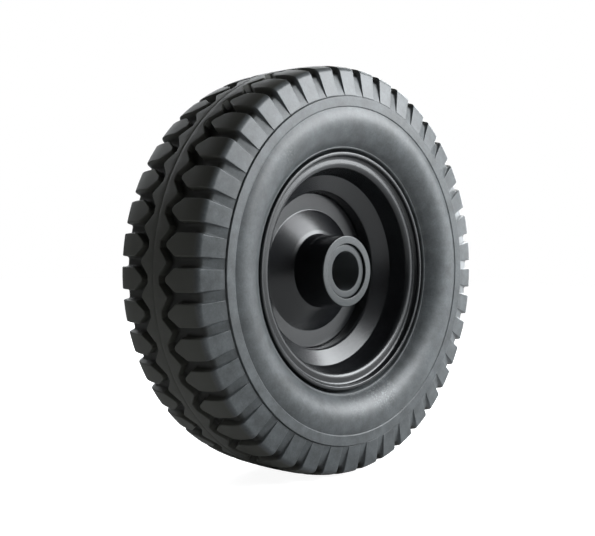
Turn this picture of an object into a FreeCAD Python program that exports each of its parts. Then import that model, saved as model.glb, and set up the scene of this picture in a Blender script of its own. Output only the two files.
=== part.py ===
import FreeCAD, Part
import math
import os
import Sketcher

# A puncture-proof wheel for a sod cutter, in millimetres.
# The origin is the wheel's centre. The axle lies along Y, the shown face looks to -Y, and +Z is up.
# Widths are measured from the mid-plane of the wheel, so most of them are half widths.

doc = FreeCAD.newDocument("SodCutterWheel")

SIZES = {
    # Tread
    "tread_radius": 130.0,      # crown of the centre rib
    "lug_count": 41,            # blocks on each side of the rib
    "groove_depth": 6.0,        # crown to the flat floor of the grooves
    "rib_narrow": 5.2,          # half width of the rib opposite a block's tip
    "rib_wide": 11.6,           # half width of the rib opposite a gap
    "rib_narrow_flat": 4.4,     # length round the tread of the rib's narrow stretch
    "rib_wide_flat": 1.6,       # length round the tread of the rib's wide stretch
    "groove_width": 5.4,        # across the zigzag groove, rib to block tip
    "tip_flat": 2.6,            # blunt end of a block's tip
    "tip_length": 8.0,          # taper of a block, tip to its parallel sides
    "lug_gap": 6.2,             # gap between two blocks
    "gap_bend_inset": 3.3,      # a gap's level floor ends this far inside the top of the side face
    "gap_end_lift": 0.7,        # a gap runs out this far above the end of the side face
    "gap_overshoot": 0.1,       # its floor is cut this far past the side face
    "cut_clearance": 2.0,       # other cuts reach this far past the rubber
    "pitch_overlap": 0.3,       # neighbouring cuts of the zigzag share this much
    # Shoulder and side of the tread
    "block_half": 31.4,         # half width of the flat tread
    "block_drop": 1.5,          # crown to the outer end of a block's top
    "shoulder_run": 3.2,        # end of the flat tread to the middle of the rounded shoulder
    "shoulder_drop": 3.4,
    "side_top_run": 4.3,        # end of the flat tread to the top of the side face
    "side_top_drop": 7.0,
    "side_flare": 2.7,          # the side face widens by this much to its end
    "side_end_drop": 20.6,
    # Sidewall
    "ring_step": 0.8,           # the sidewall's ring stands out this far past the side faces
    "ring_lean": 0.3,           # fall of that step towards the axle
    "band_width": 6.2,          # ring to the fine line round the sidewall
    "band_inset": 0.1,          # the line lies this far inside the ring
    "line_step": 0.45,          # height of the line
    "bulge_share": 0.77,        # radius of the sidewall's curve, as a share of its chord
    "bead_lip": 0.7,            # bead's edge over the hole that the rim fills
    "bead_bevel": 0.8,
    "bead_overhang": 0.9,       # bead's edge beyond the rim's lip
    "bead_gap": 1.9,            # open gap between the tyre and the rim's lip
    # Rim, pressed from one ring of sheet; its drops are measured from the outside of the lip
    "rim_gauge": 2.5,
    "bend_share": 0.6,          # a bend's outer corner, as a share of the sheet's gauge
    "rim_half": 30.6,           # mid-plane to the lip
    "lip_radius": 75.5,         # outside of the lip
    "lip_round": 0.8,           # height of the lip's rounded edge
    "valley_depth": 3.7,        # lip to the bottom of the valley inside it
    "crest_depth": 2.4,         # lip to the rounded mouth of the barrel
    "crest_drop": 7.9,
    "mouth_depth": 5.2,
    "mouth_drop": 10.7,
    "barrel_half": 13.3,        # inner end of the barrel
    "barrel_drop": 13.8,
    "well_half": 6.3,           # narrow well in the middle
    "well_drop": 24.5,
    "seat_fit": 0.1,            # tyre to rim
    # Disc, pressed from sheet, with a skirt for the well and a collar for the hub
    "disc_gauge": 2.5,
    "disc_back": 1.8,           # how far behind the mid-plane its flat ring lies
    "disc_fit": 0.1,            # skirt to well
    "skirt_length": 4.6,
    "skirt_bend": 1.6,
    "step_share": 0.575,        # end of the flat ring, on the way from the collar out to the skirt
    "rise_share": 0.15,         # steep part of the domed middle, on the way from that end inwards
    "step_sink": 1.0,           # the ring sinks this far towards the step
    "dome_rise": 2.5,           # height of the steep part
    "collar_rise": 4.5,         # from there up to the root of the collar
    "collar_length": 8.0,
    "collar_bevel": 1.2,
    # Hub
    "hub_length": 60.0,
    "hub_radius": 22.5,
    "hub_wall": 5.0,
    "hub_chamfer": 0.5,
    "collar_fit": 0.05,         # hub to collar
    # Bushes
    "axle_radius": 12.5,        # bore for the axle
    "bush_fit": 0.02,           # bush to hub
    "bush_recess": 1.5,
    "bush_length": 22.0,
    "bush_chamfer": 0.6,
}

sheet = doc.addObject("Spreadsheet::Sheet", "Sizes")
for row, (alias, number) in enumerate(SIZES.items(), start=1):
    sheet.set("A" + str(row), alias)
    sheet.set("B" + str(row), str(number))
    sheet.setAlias("B" + str(row), alias)
doc.recompute()


class Size:
    """A number together with the sheet expression that it comes from."""

    def __init__(self, number, text):
        self.number = number
        self.text = text

    def _join(self, other, sign, number):
        return Size(number, "(" + self.text + sign + other.text + ")")

    def __add__(self, other):
        return self._join(other, " + ", self.number + other.number)

    def __sub__(self, other):
        return self._join(other, " - ", self.number - other.number)

    def __mul__(self, other):
        return self._join(other, " * ", self.number * other.number)

    def __truediv__(self, other):
        return self._join(other, " / ", self.number / other.number)

    def __neg__(self):
        return Size(-self.number, "(-" + self.text + ")")


def size(alias):
    return Size(float(sheet.get(alias)), "Sizes." + alias)


def plain(number):
    return Size(float(number), str(number))


def tangent(angle):
    return Size(math.tan(math.radians(angle.number)), "tan(" + angle.text + " * 1 deg)")


def root(square):
    return Size(math.sqrt(square.number), "sqrt(" + square.text + ")")


zero = plain(0)
one = plain(1)
two = plain(2)
half_turn = plain(180)


def rim_section():
    """Corners of the rim's visible side, as (half width, radius), from the well to the lip."""
    edge, lip = size("rim_half"), size("lip_radius")
    return {
        "well": (size("well_half"), lip - size("well_drop")),
        "barrel": (size("barrel_half"), lip - size("barrel_drop")),
        "mouth": (edge - size("mouth_depth"), lip - size("mouth_drop")),
        "crest": (edge - size("crest_depth"), lip - size("crest_drop")),
        "valley": (edge - size("valley_depth"), lip - size("rim_gauge")),
    }


def origin_feature(body, role):
    return next(item for item in body.Origin.OriginFeatures if item.Role == role)


def new_body(label):
    body = doc.addObject("PartDesign::Body", label)
    body.Label = label
    return body


def new_sketch(body, name, role, lift=None):
    sketch = body.newObject("Sketcher::SketchObject", name)
    sketch.AttachmentSupport = [(origin_feature(body, role), "")]
    sketch.MapMode = "FlatFace"
    if lift is not None:
        sketch.setExpression("AttachmentOffset.Base.z", lift.text)
    doc.recompute()
    return sketch


def bind(sketch, kind, geometry, end, distance):
    """Holds one coordinate of a sketch point at a signed distance from the origin."""
    if distance.number < 0:
        held = Sketcher.Constraint(kind, geometry, end, -1, 1, -distance.number)
        text = (-distance).text
    else:
        held = Sketcher.Constraint(kind, -1, 1, geometry, end, distance.number)
        text = distance.text
    index = sketch.addConstraint(held)
    sketch.setExpression("Constraints[" + str(index) + "]", text)


def draw_outline(sketch, corners, bulge=None):
    """Closes a loop of straight lines; bulge names the line that is an arc, and its radius."""
    count = len(corners)
    points = [FreeCAD.Vector(x.number, y.number, 0) for x, y in corners]
    base = sketch.GeometryCount
    for index in range(count):
        start, end = points[index], points[(index + 1) % count]
        if bulge and index == bulge[0]:
            sketch.addGeometry(arc_between(start, end, bulge[1].number), False)
        else:
            sketch.addGeometry(Part.LineSegment(start, end), False)
    for index in range(count):
        x, y = corners[index]
        here, before = base + index, base + (index - 1) % count
        reversed_arc = bulge and index == bulge[0]
        start_end = 2 if reversed_arc else 1
        before_end = 1 if bulge and (index - 1) % count == bulge[0] else 2
        sketch.addConstraint(Sketcher.Constraint("Coincident", before, before_end, here, start_end))
        bind(sketch, "DistanceX", here, start_end, x)
        bind(sketch, "DistanceY", here, start_end, y)
    if bulge:
        index = sketch.addConstraint(
            Sketcher.Constraint("Radius", base + bulge[0], bulge[1].number))
        sketch.setExpression("Constraints[" + str(index) + "]", bulge[1].text)


def arc_between(start, end, radius):
    """An arc that runs clockwise from start to end and bulges to the left of that way."""
    middle = (start + end) * 0.5
    chord = end - start
    half = chord.Length / 2
    across = FreeCAD.Vector(-chord.y, chord.x, 0).normalize()
    centre = middle - across * math.sqrt(radius ** 2 - half ** 2)
    circle = Part.Circle(centre, FreeCAD.Vector(0, 0, 1), radius)
    first = math.atan2(end.y - centre.y, end.x - centre.x)
    last = math.atan2(start.y - centre.y, start.x - centre.x)
    return Part.ArcOfCircle(circle, first, last)


def revolve(body, sketch):
    turned = body.newObject("PartDesign::Revolution", body.Label + "_turned")
    turned.Profile = sketch
    turned.ReferenceAxis = (sketch, ["H_Axis"])
    turned.Angle = 360.0
    body.Tip = turned
    doc.recompute()
    return turned


def mirror_to_front(body, features):
    mirrored = body.newObject("PartDesign::Mirrored", body.Label + "_both_sides")
    mirrored.Originals = features
    mirrored.MirrorPlane = (origin_feature(body, "XZ_Plane"), [""])
    body.Tip = mirrored
    doc.recompute()
    return mirrored


def make_tyre():
    body = new_body("tyre")
    crown, corner = size("tread_radius"), rim_section()
    side_top_half = size("block_half") + size("side_top_run")
    side_top_radius = crown - size("side_top_drop")
    side_end_half = side_top_half + size("side_flare")
    side_end_radius = crown - size("side_end_drop")
    ring_half, ring_radius = side_end_half + size("ring_step"), side_end_radius - size("ring_lean")
    band_half, band_radius = ring_half - size("band_inset"), ring_radius - size("band_width")
    line = size("line_step")
    wall_radius = size("lip_radius") + size("bead_gap")
    bead_half, bead_radius = size("rim_half") + size("bead_overhang"), wall_radius + size("bead_lip")
    chord_run, chord_climb = band_half - line - bead_half, band_radius - line - bead_radius
    bulge_radius = size("bulge_share") * root(chord_run * chord_run + chord_climb * chord_climb)
    gauge, fit = size("rim_gauge"), size("seat_fit")
    flange_back = corner["valley"][0] - gauge - fit
    mouth, barrel, well = corner["mouth"], corner["barrel"], corner["well"]
    slope = (mouth[1] - barrel[1]) / (mouth[0] - barrel[0])
    seat_half = barrel[0] - gauge * size("bend_share")
    bore = barrel[1] + gauge + fit
    outline = [
        (zero, bore),
        (zero, crown),
        (size("block_half"), crown - size("block_drop")),
        (size("block_half") + size("shoulder_run"), crown - size("shoulder_drop")),
        (side_top_half, side_top_radius),
        (side_end_half, side_end_radius),
        (ring_half, ring_radius),
        (band_half, band_radius),
        (band_half - line, band_radius - line),
        (bead_half, bead_radius),
        (bead_half - size("bead_bevel"), wall_radius),
        (flange_back, wall_radius),
        (flange_back, bore + slope * (flange_back - seat_half)),
        (seat_half, bore),
    ]
    section = new_sketch(body, "tyre_section", "YZ_Plane")
    draw_outline(section, outline, bulge=(8, bulge_radius))
    turned = revolve(body, section)
    mirror_to_front(body, [turned])

    # One pitch of the zigzag groove, drawn flat on the groove's floor with a gap at its middle.
    half_pitch = crown * tangent(half_turn / size("lug_count"))
    floor = crown - size("groove_depth")
    block_tip = size("rib_narrow") + size("groove_width")
    block_corner = block_tip + size("tip_length")
    reach = half_pitch + size("pitch_overlap")
    rib_turn = half_pitch - size("rib_narrow_flat") / two
    tip_turn = half_pitch - size("tip_flat") / two
    half_gap = size("lug_gap") / two
    wide_turn = size("rib_wide_flat") / two
    rib_edge = [
        (-reach, size("rib_narrow")),
        (-rib_turn, size("rib_narrow")),
        (-wide_turn, size("rib_wide")),
        (wide_turn, size("rib_wide")),
        (rib_turn, size("rib_narrow")),
        (reach, size("rib_narrow")),
    ]
    block_edge = [
        (reach, block_tip),
        (tip_turn, block_tip),
        (half_gap, block_corner),
        (-half_gap, block_corner),
        (-tip_turn, block_tip),
        (-reach, block_tip),
    ]
    rear_side = rib_edge + block_edge
    front_side = [(x, -y) for x, y in reversed(rear_side)]
    zigzag = new_sketch(body, "zigzag_pitch", "XY_Plane", lift=floor)
    draw_outline(zigzag, rear_side)
    draw_outline(zigzag, front_side)
    groove = body.newObject("PartDesign::Pocket", "zigzag_groove")
    groove.Profile = zigzag
    groove.Type = "Length"
    groove.Reversed = True
    groove.setExpression("Length", (size("groove_depth") + size("cut_clearance")).text)
    body.Tip = groove
    doc.recompute()

    # One gap between blocks: level, then falling over the shoulder to the end of the side face.
    spare = size("cut_clearance")
    turn_half = side_top_half - size("gap_bend_inset")
    end_radius = side_end_radius + size("gap_end_lift")
    side_slope = size("side_flare") / (side_top_radius - side_end_radius)
    end_half = side_end_half - side_slope * size("gap_end_lift")
    fall = (floor - end_radius) / (end_half - turn_half)
    past_half = end_half + size("gap_overshoot")
    past_radius = end_radius - fall * size("gap_overshoot")
    gap_rear = [
        (block_corner - spare, floor),
        (turn_half, floor),
        (past_half, past_radius),
        (end_half + spare, past_radius),
        (end_half + spare, crown + spare),
        (block_corner - spare, crown + spare),
    ]
    gap_front = [(-x, y) for x, y in reversed(gap_rear)]
    gaps = new_sketch(body, "gap_section", "YZ_Plane")
    draw_outline(gaps, gap_rear)
    draw_outline(gaps, gap_front)
    gap = body.newObject("PartDesign::Pocket", "lug_gap_cut")
    gap.Profile = gaps
    gap.Type = "Length"
    gap.Midplane = True
    gap.setExpression("Length", size("lug_gap").text)
    body.Tip = gap
    doc.recompute()

    pattern = body.newObject("PartDesign::PolarPattern", "tread_pattern")
    pattern.Originals = [groove, gap]
    pattern.Axis = (origin_feature(body, "Y_Axis"), [""])
    pattern.Angle = 360.0
    pattern.setExpression("Occurrences", size("lug_count").text)
    body.Tip = pattern
    doc.recompute()
    return body


def make_rim():
    body = new_body("rim")
    corner, edge, lip = rim_section(), size("rim_half"), size("lip_radius")
    gauge, rounding = size("rim_gauge"), size("lip_round")
    bend = gauge * size("bend_share")
    mouth, barrel, well, valley = corner["mouth"], corner["barrel"], corner["well"], corner["valley"]
    slope = (mouth[1] - barrel[1]) / (mouth[0] - barrel[0])
    flange_back = valley[0] - gauge
    barrel_back = (barrel[0] - bend, barrel[1] + gauge)
    outline = [
        (zero, well[1]),
        (zero, well[1] + gauge),
        (well[0] - bend, well[1] + gauge),
        barrel_back,
        (flange_back, barrel_back[1] + slope * (flange_back - barrel_back[0])),
        (flange_back, lip - bend),
        (flange_back + bend, lip),
        (edge - rounding, lip),
        (edge, lip - gauge / two),
        (edge - rounding, lip - gauge),
        valley,
        corner["crest"],
        mouth,
        barrel,
        well,
    ]
    section = new_sketch(body, "rim_section", "YZ_Plane")
    draw_outline(section, outline)
    turned = revolve(body, section)
    mirror_to_front(body, [turned])
    return body


def make_disc():
    body = new_body("wheel_disc")
    gauge = size("disc_gauge")
    outside = rim_section()["well"][1] - size("disc_fit")
    bend, bevel = size("skirt_bend"), size("collar_bevel")
    collar_inside = size("hub_radius") + size("collar_fit")
    collar_outside = collar_inside + gauge
    root_radius = collar_outside + bevel
    step_radius = root_radius + (outside - bend - root_radius) * size("step_share")
    dome_radius = step_radius - (step_radius - root_radius) * size("rise_share")
    ring = size("disc_back")
    sunk = ring + size("step_sink")
    dome = sunk - size("dome_rise")
    root_face = dome - size("collar_rise")
    tip = root_face - size("collar_length")
    thin = gauge * (one - size("bend_share"))
    outline = [
        (ring + size("skirt_length"), outside),
        (ring + bend, outside),
        (ring, outside - bend),
        (sunk, step_radius),
        (dome, dome_radius),
        (root_face, root_radius),
        (root_face - bevel, collar_outside),
        (tip + bevel, collar_outside),
        (tip, collar_outside - bevel),
        (tip, collar_inside),
        (root_face + gauge, collar_inside),
        (dome + gauge, dome_radius - thin),
        (sunk + gauge, step_radius - thin),
        (ring + gauge, outside - gauge),
        (ring + size("skirt_length"), outside - gauge),
    ]
    section = new_sketch(body, "disc_section", "YZ_Plane")
    draw_outline(section, outline)
    revolve(body, section)
    return body


def make_hub():
    body = new_body("hub_tube")
    half = size("hub_length") / two
    outside = size("hub_radius")
    inside = outside - size("hub_wall")
    bevel = size("hub_chamfer")
    outline = [
        (-half, inside),
        (-half, outside - bevel),
        (-half + bevel, outside),
        (half - bevel, outside),
        (half, outside - bevel),
        (half, inside),
    ]
    section = new_sketch(body, "hub_section", "YZ_Plane")
    draw_outline(section, outline)
    revolve(body, section)
    return body


def make_bush(label, side):
    body = new_body(label)
    outer_end = (size("hub_length") / two - size("bush_recess")) * plain(side)
    inner_end = outer_end - size("bush_length") * plain(side)
    outside = size("hub_radius") - size("hub_wall") - size("bush_fit")
    bevel = size("bush_chamfer") * plain(side)
    outline = [
        (inner_end, size("axle_radius")),
        (inner_end, outside),
        (outer_end, outside),
        (outer_end, size("axle_radius") + size("bush_chamfer")),
        (outer_end - bevel, size("axle_radius")),
    ]
    section = new_sketch(body, label + "_section", "YZ_Plane")
    draw_outline(section, outline)
    revolve(body, section)
    return body


pieces = [
    make_tyre(),
    make_rim(),
    make_disc(),
    make_hub(),
    make_bush("front_bush", -1),
    make_bush("rear_bush", 1),
]
doc.recompute()

for item in doc.Objects:
    if "Invalid" in item.State or "Error" in item.State:
        raise RuntimeError(item.Name + " failed: " + str(item.State))

os.makedirs("parts", exist_ok=True)
for piece in pieces:
    shape = piece.Shape
    if shape.isNull() or not shape.isValid() or len(shape.Solids) != 1:
        raise RuntimeError(piece.Label + " is not one sound solid")
    shape.exportStep("parts/" + piece.Label + ".step")
    print(piece.Label, "volume", round(shape.Volume), "faces", len(shape.Faces))
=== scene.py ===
import math
import bmesh
import bpy
from mathutils import Matrix, Vector


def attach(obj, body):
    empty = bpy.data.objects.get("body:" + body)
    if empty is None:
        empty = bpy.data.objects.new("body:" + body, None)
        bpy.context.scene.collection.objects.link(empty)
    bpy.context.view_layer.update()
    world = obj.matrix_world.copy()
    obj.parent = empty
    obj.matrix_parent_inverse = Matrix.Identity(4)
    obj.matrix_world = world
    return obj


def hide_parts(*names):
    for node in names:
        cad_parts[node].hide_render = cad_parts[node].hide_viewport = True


# A solid rubber wheel on a pressed and painted steel rim.
# Metres, axle along Y, shown face to -Y, up is +Z. Lists of sizes below are in millimetres.
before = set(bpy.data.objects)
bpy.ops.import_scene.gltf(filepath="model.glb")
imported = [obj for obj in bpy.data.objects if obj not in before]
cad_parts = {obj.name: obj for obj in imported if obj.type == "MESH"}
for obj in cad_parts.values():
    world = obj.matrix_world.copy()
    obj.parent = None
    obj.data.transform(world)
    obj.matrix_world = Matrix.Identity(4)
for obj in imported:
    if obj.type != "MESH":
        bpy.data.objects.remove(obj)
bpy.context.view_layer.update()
mm = 0.001
print("frame loaded")


# small tools

def toLinear(hexColour):
    channels = [int(hexColour[i:i + 2], 16) / 255 for i in (1, 3, 5)]
    return [c / 12.92 if c <= 0.04045 else ((c + 0.055) / 1.055) ** 2.4 for c in channels] + [1.0]


def addNode(tree, kind, settings=None, **links):
    # settings go to the node's own properties or, by name or number, to its sockets
    node = tree.nodes.new(kind)
    for key, value in (settings or {}).items():
        if isinstance(key, str) and hasattr(node, key):
            setattr(node, key, value)
        else:
            node.inputs[key].default_value = value
    for key, source in links.items():
        place = int(key[2:]) if key.startswith("at") else key.replace("_", " ")
        tree.links.new(source, node.inputs[place])
    return node


def setRamp(node, stops):
    ramp = node.color_ramp
    for index, (place, shade) in enumerate(stops):
        point = ramp.elements[index] if index < 2 else ramp.elements.new(place)
        point.position = place
        point.color = toLinear(shade) if isinstance(shade, str) else (shade, shade, shade, 1)
    return node


def roundedPath(corners, steps):
    # corners are (x, y) or (x, y, radius); each corner with a radius becomes an arc of that many steps
    path = []
    last = len(corners) - 1
    for index, corner in enumerate(corners):
        here = Vector(corner[:2])
        radius = corner[2] if len(corner) > 2 else 0
        if radius == 0 or index in (0, last):
            path.append(here)
            continue
        back = (Vector(corners[index - 1][:2]) - here).normalized()
        ahead = (Vector(corners[index + 1][:2]) - here).normalized()
        half = back.angle(ahead) / 2
        run = radius / math.tan(half)
        centre = here + (back + ahead).normalized() * (radius / math.sin(half))
        start = here + back * run - centre
        turn = start.angle_signed(here + ahead * run - centre)
        for step in range(steps + 1):
            spin = Matrix.Rotation(-turn * step / steps, 2)
            path.append(centre + spin @ start)
    return path


def arcPoints(start, end, radius, steps):
    # points between start and end on an arc that bulges to the left of that way
    chord = end - start
    across = Vector((-chord.y, chord.x)).normalized()
    centre = (start + end) / 2 - across * math.sqrt(radius ** 2 - chord.length_squared / 4)
    first, turn = start - centre, (start - centre).angle_signed(end - centre)
    return [centre + Matrix.Rotation(-turn * i / steps, 2) @ first for i in range(1, steps)]


def newPiece(name, points, faces, material, node):
    mesh = bpy.data.meshes.new(name)
    mesh.from_pydata([Vector(p) * mm for p in points], [], faces)
    work = bmesh.new()
    work.from_mesh(mesh)
    bmesh.ops.remove_doubles(work, verts=work.verts, dist=2e-6)
    bmesh.ops.recalc_face_normals(work, faces=work.faces)
    for face in work.faces:
        face.smooth = True
    work.to_mesh(mesh)
    work.free()
    piece = bpy.data.objects.new(name, mesh)
    bpy.context.scene.collection.objects.link(piece)
    mesh.materials.append(material)
    evenNormals = piece.modifiers.new("evenNormals", "WEIGHTED_NORMAL")
    evenNormals.keep_sharp = True
    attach(piece, "root")
    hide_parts(node)
    print(name, len(mesh.polygons), "faces")
    return piece


def lathe(name, section, turns, material, node):
    # section is a closed loop of (y, radius)
    count = len(section)
    points = []
    for turn in range(turns):
        angle = 2 * math.pi * turn / turns
        points += [(p[1] * math.sin(angle), p[0], p[1] * math.cos(angle)) for p in section]
    faces = []
    for turn in range(turns):
        here, there = turn * count, (turn + 1) % turns * count
        for i in range(count):
            j = (i + 1) % count
            faces.append((here + i, here + j, there + j, there + i))
    return newPiece(name, points, faces, material, node)


# camera, at the photo's viewing angle

cameraSpec = {
    "place": (-0.46364, -0.44664, 0.00966),
    "right": (0.70539, -0.70870, 0.01307),
    "up": (0.0, 0.01843, 0.99983),
    "forward": (0.70882, 0.70527, -0.01300),
    "lens": 59.48,
}
cameraData = bpy.data.cameras.new("camera")
cameraData.lens = cameraSpec["lens"]
cameraData.sensor_width = 36
cameraData.clip_start = 0.01
camera = bpy.data.objects.new("camera", cameraData)
bpy.context.scene.collection.objects.link(camera)
axes = [Vector(cameraSpec["right"]), Vector(cameraSpec["up"]), -Vector(cameraSpec["forward"])]
turned = Matrix(axes).transposed().to_4x4()
camera.matrix_world = Matrix.Translation(cameraSpec["place"]) @ turned
bpy.context.scene.camera = camera


# materials

def newMaterial(name):
    material = bpy.data.materials.new(name)
    material.use_nodes = True
    tree = material.node_tree
    shader = tree.nodes["Principled BSDF"]
    place = addNode(tree, "ShaderNodeTexCoord").outputs["Object"]
    return material, tree, shader, place


def mouldedRubber():
    # Carbon-black rubber, moulded in a steel mould: matt on the tread, softly shining on the flanks. The
    # tread's warm tint and the flanks' bluer grey are partly painted light, for how the light falls on
    # each, and partly the flanks' wax bloom.
    spec = {
        "tread": "#464640", "paintedGrooveShade": "#2b2b27",      # painted shade in the grooves, darker than the tread colour
        "flank": "#454849", "bloom": "#5b5f61",
        "wax": "#85888a",   # light patches and the speck; the first patch is painted sheen
        "flankFrom": 31.5, "flankTo": 35.2,     # mm from the mid-plane, tread colour to flank colour
        "ringRadius": 109.0,                    # mm, inside it all is flank
        "grooveFloor": 124.5, "blockTop": 127.2,    # mm from the axle, painted groove shade to tread colour
        "treadRough": 0.62, "flankRough": 0.40,
        "mottle": 9.0,      # mm across a wax patch
        "speckle": 1.2,     # mm across a speckle
        "streakFrom": 0.54, "streakTo": 0.66,   # part of the speckle that a light patch takes
        # light patches and one speck: (x, y, z, reach) in mm, share of the patch colour; the first patch
        # is painted sheen
        "marks": [((27, -36, -77, 15), 0.75), ((4, -36, -84, 10), 0.35), ((-92.3, -38, -6.8, 1.0), 1.0),
                  ((-62, -37, 68, 8), 0.3)],
        "grain": 0.7,       # mm across the mould's grain, coarser than the real 0.2 so that it shows
        "grainDepth": 0.02,
    }
    material, tree, shader, place = newMaterial("mouldedRubber")
    axis = addNode(tree, "ShaderNodeSeparateXYZ", at0=place)
    width = addNode(tree, "ShaderNodeMath", {"operation": "ABSOLUTE"}, at0=axis.outputs["Y"])
    flank = addNode(tree, "ShaderNodeMapRange", {"From Min": spec["flankFrom"] * mm,
                    "From Max": spec["flankTo"] * mm, "interpolation_type": "SMOOTHSTEP"},
                    Value=width.outputs[0])
    flat = addNode(tree, "ShaderNodeVectorMath", {"operation": "MULTIPLY", 1: (1, 0, 1)}, at0=place)
    radius = addNode(tree, "ShaderNodeVectorMath", {"operation": "LENGTH"}, at0=flat.outputs[0])
    inside = addNode(tree, "ShaderNodeMath", {"operation": "LESS_THAN", 1: spec["ringRadius"] * mm},
                     at0=radius.outputs["Value"])
    flank = addNode(tree, "ShaderNodeMath", {"operation": "MAXIMUM"}, at0=flank.outputs[0],
                    at1=inside.outputs[0])
    mottle = addNode(tree, "ShaderNodeTexNoise", {"Scale": 1000 / spec["mottle"], "Detail": 6.0,
                     "Roughness": 0.6}, Vector=place)
    patches = setRamp(addNode(tree, "ShaderNodeValToRGB", Fac=mottle.outputs["Fac"]),
                      [(0.35, spec["flank"]), (0.7, spec["bloom"])])
    speckle = addNode(tree, "ShaderNodeTexNoise", {"Scale": 1000 / spec["speckle"], "Detail": 3.0,
                      "Distortion": 0.6}, Vector=place)
    mottled = addNode(tree, "ShaderNodeMix", {"data_type": "RGBA", "blend_type": "OVERLAY", 0: 0.35},
                      at6=patches.outputs["Color"], at7=speckle.outputs["Fac"])
    waxed = mottled.outputs[2]
    # light patches: the first, on the lower flank, is painted sheen where the flank shines; the others
    # are faint light patches
    for (x, y, z, reach), share in spec["marks"]:
        centre = (x * mm, y * mm, z * mm)
        away = addNode(tree, "ShaderNodeVectorMath", {"operation": "DISTANCE", 1: centre}, at0=place)
        near = addNode(tree, "ShaderNodeMapRange", {"From Min": reach * mm, "From Max": 0.4 * reach * mm,
                       "To Max": share}, Value=away.outputs["Value"])
        streak = addNode(tree, "ShaderNodeMapRange", {"From Min": spec["streakFrom"],
                         "From Max": spec["streakTo"]}, Value=speckle.outputs["Fac"])
        if reach <= 1:
            streak = near
        patchShare = addNode(tree, "ShaderNodeMath", {"operation": "MULTIPLY"}, at0=near.outputs[0],
                         at1=streak.outputs[0])
        waxed = addNode(tree, "ShaderNodeMix", {"data_type": "RGBA", 7: toLinear(spec["wax"])},
                        at0=patchShare.outputs[0], at6=waxed).outputs[2]
    # painted shade: the grooves darken towards their floor
    grooveShadeMask = addNode(tree, "ShaderNodeMapRange", {"From Min": spec["grooveFloor"] * mm,
                   "From Max": spec["blockTop"] * mm}, Value=radius.outputs["Value"])
    tread = addNode(tree, "ShaderNodeMix", {"data_type": "RGBA", 6: toLinear(spec["paintedGrooveShade"]),
                    7: toLinear(spec["tread"])}, at0=grooveShadeMask.outputs[0])
    # tread colour to flank colour across the width: partly painted light, partly wax bloom on the flanks
    colour = addNode(tree, "ShaderNodeMix", {"data_type": "RGBA"}, at0=flank.outputs[0],
                     at6=tread.outputs[2], at7=waxed)
    rough = addNode(tree, "ShaderNodeMapRange", {"To Min": spec["treadRough"],
                    "To Max": spec["flankRough"]}, Value=flank.outputs[0])
    grain = addNode(tree, "ShaderNodeTexNoise", {"Scale": 1000 / spec["grain"], "Detail": 3.0},
                    Vector=place)
    bump = addNode(tree, "ShaderNodeBump", {"Strength": 0.6, "Distance": spec["grainDepth"] * mm},
                   Height=grain.outputs["Fac"])
    tree.links.new(colour.outputs[2], shader.inputs["Base Color"])
    tree.links.new(rough.outputs[0], shader.inputs["Roughness"])
    tree.links.new(bump.outputs[0], shader.inputs["Normal"])
    shader.inputs["IOR"].default_value = 1.52
    return material


def satinPaint(name, worn):
    # Black baked enamel on pressed steel: a satin skin with fine grit that breaks up the reflections.
    spec = {
        "paint": "#141517", "dust": "#1c1e20",
        "thin": "#333637", "thinner": "#45494a",    # on the hub's turned ends
        "endFrom": 29.6,    # mm from the mid-plane to where the hub's end begins
        "cloud": 50 / 3,    # mm across a cloud of dust
        "rough": 0.27,
        "grit": 0.7,        # mm across a grain, coarser than the real 0.1 so that it shows
        "gritDepth": 0.05,
    }
    material, tree, shader, place = newMaterial(name)
    cloud = addNode(tree, "ShaderNodeTexNoise", {"Scale": 1000 / spec["cloud"], "Detail": 4.0},
                    Vector=place)
    colour = setRamp(addNode(tree, "ShaderNodeValToRGB", Fac=cloud.outputs["Fac"]),
                     [(0.4, spec["paint"]), (0.7, spec["dust"])])
    grit = addNode(tree, "ShaderNodeTexNoise", {"Scale": 1000 / spec["grit"], "Detail": 2.0},
                   Vector=place)
    bump = addNode(tree, "ShaderNodeBump", {"Strength": 0.3, "Distance": spec["gritDepth"] * mm},
                   Height=grit.outputs["Fac"])
    shown = colour.outputs["Color"]
    if worn:
        axis = addNode(tree, "ShaderNodeSeparateXYZ", at0=place)
        width = addNode(tree, "ShaderNodeMath", {"operation": "ABSOLUTE"}, at0=axis.outputs["Y"])
        end = addNode(tree, "ShaderNodeMath", {"operation": "GREATER_THAN", 1: spec["endFrom"] * mm},
                      at0=width.outputs[0])
        thin = setRamp(addNode(tree, "ShaderNodeValToRGB", Fac=grit.outputs["Fac"]),
                       [(0.35, spec["thin"]), (0.7, spec["thinner"])])
        shown = addNode(tree, "ShaderNodeMix", {"data_type": "RGBA"}, at0=end.outputs[0], at6=shown,
                        at7=thin.outputs["Color"]).outputs[2]
    tree.links.new(shown, shader.inputs["Base Color"])
    tree.links.new(bump.outputs[0], shader.inputs["Normal"])
    shader.inputs["Roughness"].default_value = spec["rough"]
    shader.inputs["IOR"].default_value = 1.6
    return material


def turnedNylon():
    # Black nylon, turned: an even dull grey face with a faint speckle.
    spec = {
        "nylon": "#434647", "rough": 0.5,
        "speckle": 2.5,     # mm across a speckle
        "speckleDepth": 0.02,
    }
    material, tree, shader, place = newMaterial("turnedNylon")
    speckle = addNode(tree, "ShaderNodeTexNoise", {"Scale": 1000 / spec["speckle"], "Detail": 4.0},
                      Vector=place)
    bump = addNode(tree, "ShaderNodeBump", {"Strength": 0.25, "Distance": spec["speckleDepth"] * mm},
                   Height=speckle.outputs["Fac"])
    tree.links.new(bump.outputs[0], shader.inputs["Normal"])
    shader.inputs["Base Color"].default_value = toLinear(spec["nylon"])
    shader.inputs["Roughness"].default_value = spec["rough"]
    return material


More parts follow.
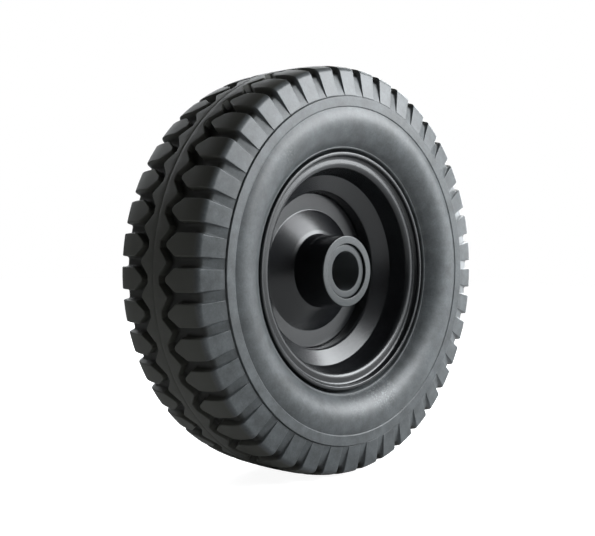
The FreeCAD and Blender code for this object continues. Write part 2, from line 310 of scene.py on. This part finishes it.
rubber = mouldedRubber()
paint = satinPaint("satinPaint", False)
hubPaint = satinPaint("hubPaint", True)
nylon = turnedNylon()
print("materials made")


# tyre: one quarter of one pitch of the tread, copied round, and a lathed flank

tyreSpec = {
    "blocks": 41,
    # top of the tread, out to where the shoulder begins to turn
    "crown": [(0, 130.0), (6, 129.96), (12, 129.83), (17, 129.65), (21.5, 129.35), (25.5, 128.9),
              (29, 128.3), (31.6, 127.6)],
    "shoulder": (34.95, 126.55, 4.2),   # corner of the shoulder and its radius
    "sideEnd": (38.35, 109.8),          # end of the side faces
    "groove": [(37.95, 109.55), (37.9, 109.2)],     # fine groove between the side faces and the ring
    "grooveDepth": 6.0,
    "ribNarrow": 5.2, "ribWide": 11.6, "ribNarrowFlat": 4.4, "ribWideFlat": 1.6,
    "grooveWidth": 5.4, "tipFlat": 2.6, "tipLength": 8.0,
    "gap": 6.2,
    "gapStart": 18.0, "gapBend": (33.0, 124.0, 4.5),
    "gapEndDepth": 0.25,
    "firstStations": (21.5, 25.5), "lastShares": (0.3, 0.65, 1),    # rows across a block
    "planRound": 1.6,               # corners of the zigzag, seen from above
    "tipRound": 2.2,                # the same for the tip of a block
    "mouthRound": 3.0,              # corner of a block at the mouth of its gap
    "edgeRound": 0.7, "floorRound": 1.3, "wallLean": 0.05,
    "seamHalf": 0.4, "seamDepth": 0.6,
}
# Flank from the ring to the bead: (half width, radius, corner radius)
flankSpec = {
    "ring": [(39.2, 109.0, 0.45), (39.1, 102.9, 0.4), (38.65, 102.4, 0.3)],
    "bulge": 19.5,
    "bead": [(31.5, 78.7, 0.5), (30.9, 78.5, 0.2), (31.2, 78.0, 0.4), (30.4, 77.4, 0.3),
             (24.3, 77.4), (24.3, 69.7), (10.9, 64.3), (0, 64.3)],
    "stepsPerPitch": 4,
}


def alongPath(path, distance):
    for start, end in zip(path, path[1:]):
        step = (end - start).length
        if distance <= step or end is path[-1]:
            return start + (end - start) * (distance / step)
        distance -= step


def pathLength(path):
    return sum((b - a).length for a, b in zip(path, path[1:]))


def offsetPath(path, shift):
    # moves each point to the left of the path, keeping the distance at corners
    moved = []
    for i, point in enumerate(path):
        before = (point - path[i - 1]).normalized() if i else None
        after = (path[i + 1] - point).normalized() if i + 1 < len(path) else None
        sides = [Vector((-d.y, d.x)) for d in (before, after) if d]
        if len(sides) == 2:
            middle = (sides[0] + sides[1]).normalized()
            moved.append(point + middle * (shift / middle.dot(sides[0])))
        else:
            moved.append(point + sides[0] * shift)
    return moved


def treadSection():
    # top of the blocks and floor of the gaps, as paths of (half width, radius)
    s = tyreSpec
    top = roundedPath(s["crown"] + [s["shoulder"], s["sideEnd"]], 8)
    end, corner = Vector(s["sideEnd"]), Vector(s["shoulder"][:2])
    fall = (end - corner).normalized()
    inward = Vector((fall.y, -fall.x)) * s["gapEndDepth"]
    floorRadius = s["crown"][0][1] - s["grooveDepth"]
    floor = roundedPath([(s["gapStart"], floorRadius), s["gapBend"], tuple(end + inward)], 8)
    return top, floor, floorRadius


def wallRows(height):
    # (distance into the groove, depth) from the rounded top edge of a block to the groove's floor
    s = tyreSpec
    top = min(s["edgeRound"], 0.35 * height)
    foot = min(s["floorRound"], 0.4 * height)
    lean = s["wallLean"] * height
    rows = [(top * math.sin(a) - top, top - top * math.cos(a))
            for a in (0, math.pi / 6, math.pi / 3, math.pi / 2)]
    rows += [(lean + foot - foot * math.cos(a), height - foot + foot * math.sin(a))
             for a in (0, math.pi / 4, math.pi / 2)]
    return rows


def quarterPitch():
    # a quarter of one pitch: from the middle of a gap to the middle of a block, on one side
    s = tyreSpec
    topPath, floorPath, floorRadius = treadSection()
    fullLength, floorLength = pathLength(topPath), pathLength(floorPath)
    crown = s["crown"][0][1]
    halfAngle = math.pi / s["blocks"]
    halfPitch = crown * math.tan(halfAngle)
    halfGap = s["gap"] / 2

    def sectionPoint(along, share):
        top = alongPath(topPath, min(max(along, 0), fullLength))
        if along <= s["gapStart"]:
            floor = Vector((top.x, floorRadius))
        else:
            done = (along - s["gapStart"]) / (fullLength - s["gapStart"])
            floor = alongPath(floorPath, floorLength * done)
        return top.lerp(floor, share), (top - floor).length

    def place(sideways, along, share):
        point = sectionPoint(along, share)[0]
        radius = point.y
        if sideways <= halfGap:
            angle = math.asin(sideways / radius)
        else:
            edge = math.asin(halfGap / radius)
            angle = edge + (halfAngle - edge) * (sideways - halfGap) / (halfPitch - halfGap)
        return (radius * math.sin(angle), point.x, radius * math.cos(angle))

    points, faces = [], []

    def addRow(row):
        points.extend(row)
        return list(range(len(points) - len(row), len(points)))

    def bridge(lower, upper):
        for i in range(len(lower) - 1):
            faces.append((lower[i], lower[i + 1], upper[i + 1], upper[i]))

    # edge of the rib, and edge of the block from the mouth of the gap round to its tip
    tipLine = s["ribNarrow"] + s["grooveWidth"]
    cornerLine = tipLine + s["tipLength"]
    ribPath = roundedPath([(0, s["ribWide"]), (s["ribWideFlat"] / 2, s["ribWide"], s["planRound"]),
                           (halfPitch - s["ribNarrowFlat"] / 2, s["ribNarrow"], s["planRound"]),
                           (halfPitch, s["ribNarrow"])], 3)
    ribPath.insert(1, (ribPath[0] + ribPath[1]) / 2)
    tipPath = roundedPath([(halfGap, cornerLine + 3), (halfGap, cornerLine, s["mouthRound"]),
                           (halfPitch - s["tipFlat"] / 2, tipLine, s["tipRound"]),
                           (halfPitch, tipLine)], 3)[1:]

    # top of the rib, with the seam of the mould along its middle, and its wall
    ribHeight = s["grooveDepth"] - 0.1
    ribWall = wallRows(ribHeight)
    ribTop = offsetPath(ribPath, ribWall[0][0])
    previous = addRow([place(p.x, 0, s["seamDepth"] / s["grooveDepth"]) for p in ribTop])
    for line in (lambda p: s["seamHalf"], lambda p: p.y * 0.5):
        row = addRow([place(p.x, line(p), 0) for p in ribTop])
        bridge(previous, row)
        previous = row
    for shift, depth in ribWall:
        row = addRow([place(p.x, p.y, depth / ribHeight) for p in offsetPath(ribPath, shift)])
        bridge(previous, row)
        previous = row
    ribFoot = previous

    # wall of the block's tip, top edge first
    tipWall = []
    tipHeight = s["grooveDepth"] - 0.5
    for shift, depth in wallRows(tipHeight):
        tipWall.append(addRow([place(p.x, p.y, depth / tipHeight) for p in offsetPath(tipPath, -shift)]))
    for upper, lower in zip(tipWall, tipWall[1:]):
        bridge(upper, lower)

    # rows across the gap and the block, from the mouth of the gap out to the end of the side face
    floorColumns = 2
    stations = [tipPath[0].y, *s["firstStations"]]
    distance = 0
    for before, here in zip(topPath, topPath[1:]):
        distance += (here - before).length
        if distance > stations[2] + 2 and distance < fullLength - 1:
            stations.append(distance)
    last = stations[-1]
    stations += [last + (fullLength - last) * share for share in s["lastShares"]]
    spread = [(p.x - tipPath[0].x) / (halfPitch - tipPath[0].x) for p in tipPath]
    previousGap = None
    for index, along in enumerate(stations):
        height = sectionPoint(along, 0)[1]
        rows = wallRows(height)
        foot = halfGap - rows[-1][0]
        gapRow = [(foot * i / floorColumns, 1.0) for i in range(floorColumns)]
        if index == 0:
            gapIndices = addRow([place(x, along, q) for x, q in gapRow])
            gapIndices += [row[0] for row in reversed(tipWall)]
            mouthRow, topRow = gapIndices, tipWall[0]
        else:
            gapRow += [(halfGap - shift, depth / height) for shift, depth in reversed(rows)]
            edge = gapRow[-1][0]
            gapIndices = addRow([place(x, along, q) for x, q in gapRow])
            nextTop = [gapIndices[-1]]
            nextTop += addRow([place(edge + (halfPitch - edge) * f, along, 0.0) for f in spread[1:]])
            bridge(previousGap, gapIndices)
            bridge(topRow, nextTop)
            topRow = nextTop
        previousGap = gapIndices

    # floor of the zigzag, between the rib, the block and the mouth of the gap
    bridge(ribFoot, mouthRow[:floorColumns + 1] + tipWall[-1][1:])

    # everything ends in the fine groove beside the ring
    wallTop = previousGap[floorColumns:]
    outer = previousGap[:floorColumns] + topRow
    for half, radius in s["groove"]:
        angles = [math.atan2(points[i][0], points[i][2]) for i in outer]
        row = addRow([(radius * math.sin(a), half, radius * math.cos(a)) for a in angles])
        if wallTop:
            bridge(previousGap[:floorColumns + 1], row[:floorColumns + 1])
            for upper, lower in zip(wallTop, wallTop[1:]):
                faces.append((upper, lower, row[floorColumns]))
            bridge(topRow, row[floorColumns:])
            wallTop = None
        else:
            bridge(outer, row)
        outer = row
    return points, faces, outer


def makeTyre():
    s = tyreSpec
    points, faces, ringRow = quarterPitch()
    halfAngle = math.pi / s["blocks"]
    allPoints, allFaces = [], []
    for pitch in range(s["blocks"]):
        cosine, sine = math.cos(2 * halfAngle * pitch), math.sin(2 * halfAngle * pitch)
        for flipX in (1, -1):
            for flipY in (1, -1):
                base = len(allPoints)
                for x, y, z in points:
                    x, y = x * flipX, y * flipY
                    allPoints.append((x * cosine + z * sine, y, z * cosine - x * sine))
                allFaces += [tuple(base + i for i in face) for face in faces]

    # lathed flank; its first row is joined to the tread by long faces that lie in the groove
    f = flankSpec
    ring = roundedPath([s["groove"][-1]] + f["ring"] + [f["bead"][0][:2]], 3)[1:-1]
    bead = roundedPath([tuple(ring[-1])] + f["bead"], 3)[1:]
    flank = ring + arcPoints(ring[-1], bead[0], f["bulge"], 22) + bead
    turns = s["blocks"] * f["stepsPerPitch"]
    for side in (1, -1):
        firstRow = len(allPoints)
        for row, p in enumerate(flank):
            for turn in range(turns):
                angle = 2 * math.pi * turn / turns
                allPoints.append((p.y * math.sin(angle), p.x * side, p.y * math.cos(angle)))
            if row:
                here, before = firstRow + row * turns, firstRow + (row - 1) * turns
                for turn in range(turns):
                    there = (turn + 1) % turns
                    allFaces.append((before + turn, before + there, here + there, here + turn))
        middle = len(ringRow) // 2
        for pitch in range(s["blocks"]):
            for flipX, order in ((1, 0), (-1, 1)):
                base = (pitch * 4 + order * 2 + (0 if side == 1 else 1)) * len(points)
                line = [base + i for i in ringRow]
                for part, piece in enumerate((line[:middle + 1], line[middle:])):
                    first = (pitch * f["stepsPerPitch"] + flipX * part) % turns
                    second = (pitch * f["stepsPerPitch"] + flipX * (part + 1)) % turns
                    allFaces.append(tuple(piece) + (firstRow + second, firstRow + first))
    return newPiece("rubberTyre", allPoints, allFaces, rubber, "tyre")


makeTyre()


# rim: one pressed ring of sheet steel

rimSpec = {
    # front half from the well to the lip and back behind it: (half width, radius, corner radius)
    "half": [
        (0, 51.0), (6.3, 51.0, 2.6), (13.3, 61.7, 1.6), (27.6, 65.4, 3.6), (26.95, 72.3, 2.1),
        (30.6, 73.0, 0.9), (30.6, 75.5, 0.9), (24.4, 75.5, 1.5),
        (24.4, 68.2, 1.5), (11.8, 64.2, 1.5), (4.8, 53.5, 1.5), (0, 53.5),
    ],
    "turns": 240,
}


def makeRim():
    front = roundedPath(rimSpec["half"], 5)
    back = [Vector((-p.x, p.y)) for p in reversed(front)][1:-1]
    return lathe("pressedRim", front + back, rimSpec["turns"], paint, "rim")


makeRim()


# disc, dished, with a skirt in the well and a drawn collar round the hub

discSpec = {
    "section": [
        (6.4, 50.9, 0.3), (1.6, 50.9, 0.8), (2.3, 39.6, 1.6), (-4.4, 26.2, 1.2),
        (-5.6, 23.4, 1.2), (-12.2, 22.7, 0.03), (-12.2, 22.6, 0.05), (-1.7, 22.6, 1.0),
        (2.8, 36.3, 2.0), (5.3, 38.5, 1.0), (4.3, 48.4, 0.8), (6.4, 48.4, 0.3),
    ],
    "turns": 216,
}


def closedPath(corners, steps):
    # roundedPath for a loop: starts in the middle of the last line
    start = ((Vector(corners[-1][:2]) + Vector(corners[0][:2])) / 2)[:]
    return roundedPath([start] + corners + [start], steps)[:-1]


lathe("pressedDisc", closedPath(discSpec["section"], 5), discSpec["turns"], paint,
      "wheel_disc")


# hub and bushes

hubSpec = {
    "section": [(-30, 17.5, 0.3), (-30, 22.5, 0.6), (30, 22.5, 0.6), (30, 17.5, 0.3)],
    "bush": [(-28.5, 12.5, 0.6), (-28.5, 17.48, 1.3), (-6.5, 17.48, 0.2), (-6.5, 12.5, 0.2)],
    "turns": 128,
}
lathe("turnedHub", closedPath(hubSpec["section"], 3), hubSpec["turns"], hubPaint,
      "hub_tube")
for name, node, side in (("frontBush", "front_bush", 1), ("rearBush", "rear_bush", -1)):
    loop = [Vector((p.x * side, p.y)) for p in closedPath(hubSpec["bush"], 3)]
    lathe(name, loop, hubSpec["turns"], nylon, node)
print("pieces made")


# floor, backdrop and light

def makeStage():
    # glow: what the camera sees is lifted by this near the wheel, so that its shadow stays faint,
    # and by 1 from farAway on, where the lamps no longer reach
    spec = {"floor": "#b4b4b4", "glow": 0.93, "near": 0.15, "farAway": 0.8,
            "level": -0.130, "reach": 4.0}
    corners = [(-1, -1), (1, -1), (1, 1), (-1, 1)]
    mesh = bpy.data.meshes.new("floor")
    mesh.from_pydata([(x * spec["reach"], y * spec["reach"], spec["level"]) for x, y in corners], [],
                     [(0, 1, 2, 3)])
    floor = bpy.data.objects.new("floor", mesh)
    bpy.context.scene.collection.objects.link(floor)
    material = bpy.data.materials.new("paperFloor")
    material.use_nodes = True
    tree = material.node_tree
    tree.nodes.clear()
    path = addNode(tree, "ShaderNodeLightPath")
    seen = addNode(tree, "ShaderNodeMath", {"operation": "MAXIMUM"},
                   at0=path.outputs["Is Camera Ray"], at1=path.outputs["Is Transmission Ray"])
    place = addNode(tree, "ShaderNodeTexCoord").outputs["Object"]
    away = addNode(tree, "ShaderNodeVectorMath", {"operation": "LENGTH"}, at0=place)
    glowing = addNode(tree, "ShaderNodeMapRange", {"From Min": spec["near"],
                      "From Max": spec["farAway"], "To Min": spec["glow"]}, Value=away.outputs["Value"])
    level = addNode(tree, "ShaderNodeMath", {"operation": "MULTIPLY"}, at0=seen.outputs[0],
                    at1=glowing.outputs[0])
    matt = addNode(tree, "ShaderNodeBsdfDiffuse", {"Color": toLinear(spec["floor"])})
    glow = addNode(tree, "ShaderNodeEmission", {"Color": (1, 1, 1, 1)}, Strength=level.outputs[0])
    both = addNode(tree, "ShaderNodeAddShader", at0=matt.outputs[0], at1=glow.outputs[0])
    addNode(tree, "ShaderNodeOutputMaterial", Surface=both.outputs[0])
    mesh.materials.append(material)


def makeWorld():
    world = bpy.data.worlds.new("studio")
    world.use_nodes = True
    bpy.context.scene.world = world
    tree = world.node_tree
    tree.nodes.clear()
    path = addNode(tree, "ShaderNodeLightPath")
    room = addNode(tree, "ShaderNodeBackground", {"Color": toLinear("#808080"), "Strength": 0.15})
    white = addNode(tree, "ShaderNodeBackground", {"Color": (1, 1, 1, 1), "Strength": 1.0})
    mix = addNode(tree, "ShaderNodeMixShader", at0=path.outputs["Is Camera Ray"],
                  at1=room.outputs[0], at2=white.outputs[0])
    addNode(tree, "ShaderNodeOutputWorld", Surface=mix.outputs[0])


lampSpec = {
    # name: bearing from +X towards +Y and height in degrees, width and height in metres, watts
    "frontSoftbox": (311, 27, 0.95, 0.62, 22.5),
    "frontLow": (322, 4, 0.9, 0.28, 2.2),
    "rightSoftbox": (33, 24, 1.25, 0.75, 24),
    "rightLow": (14, 3, 0.85, 0.26, 4.2),
    "backRight": (88, 28, 0.8, 0.55, 4.5),
    "left": (172, 8, 0.8, 0.5, 0.8),
}


def makeLamps():
    distance = 1.2
    for name, (bearing, height, across, up, watts) in lampSpec.items():
        turn, lift = math.radians(bearing), math.radians(height)
        data = bpy.data.lights.new(name, "AREA")
        data.shape = "RECTANGLE"
        data.size, data.size_y, data.energy = across, up, watts
        data.color = toLinear("#f8fcff")[:3]
        lamp = bpy.data.objects.new(name, data)
        bpy.context.scene.collection.objects.link(lamp)
        lamp.location = Vector((math.cos(lift) * math.cos(turn), math.cos(lift) * math.sin(turn),
                                math.sin(lift))) * distance
        lamp.rotation_euler = (-lamp.location).to_track_quat("-Z", "Y").to_euler()
        lamp.visible_camera = False


makeStage()
makeWorld()
makeLamps()
bpy.context.scene.view_settings.view_transform = "Standard"
print("stage and lamps made")
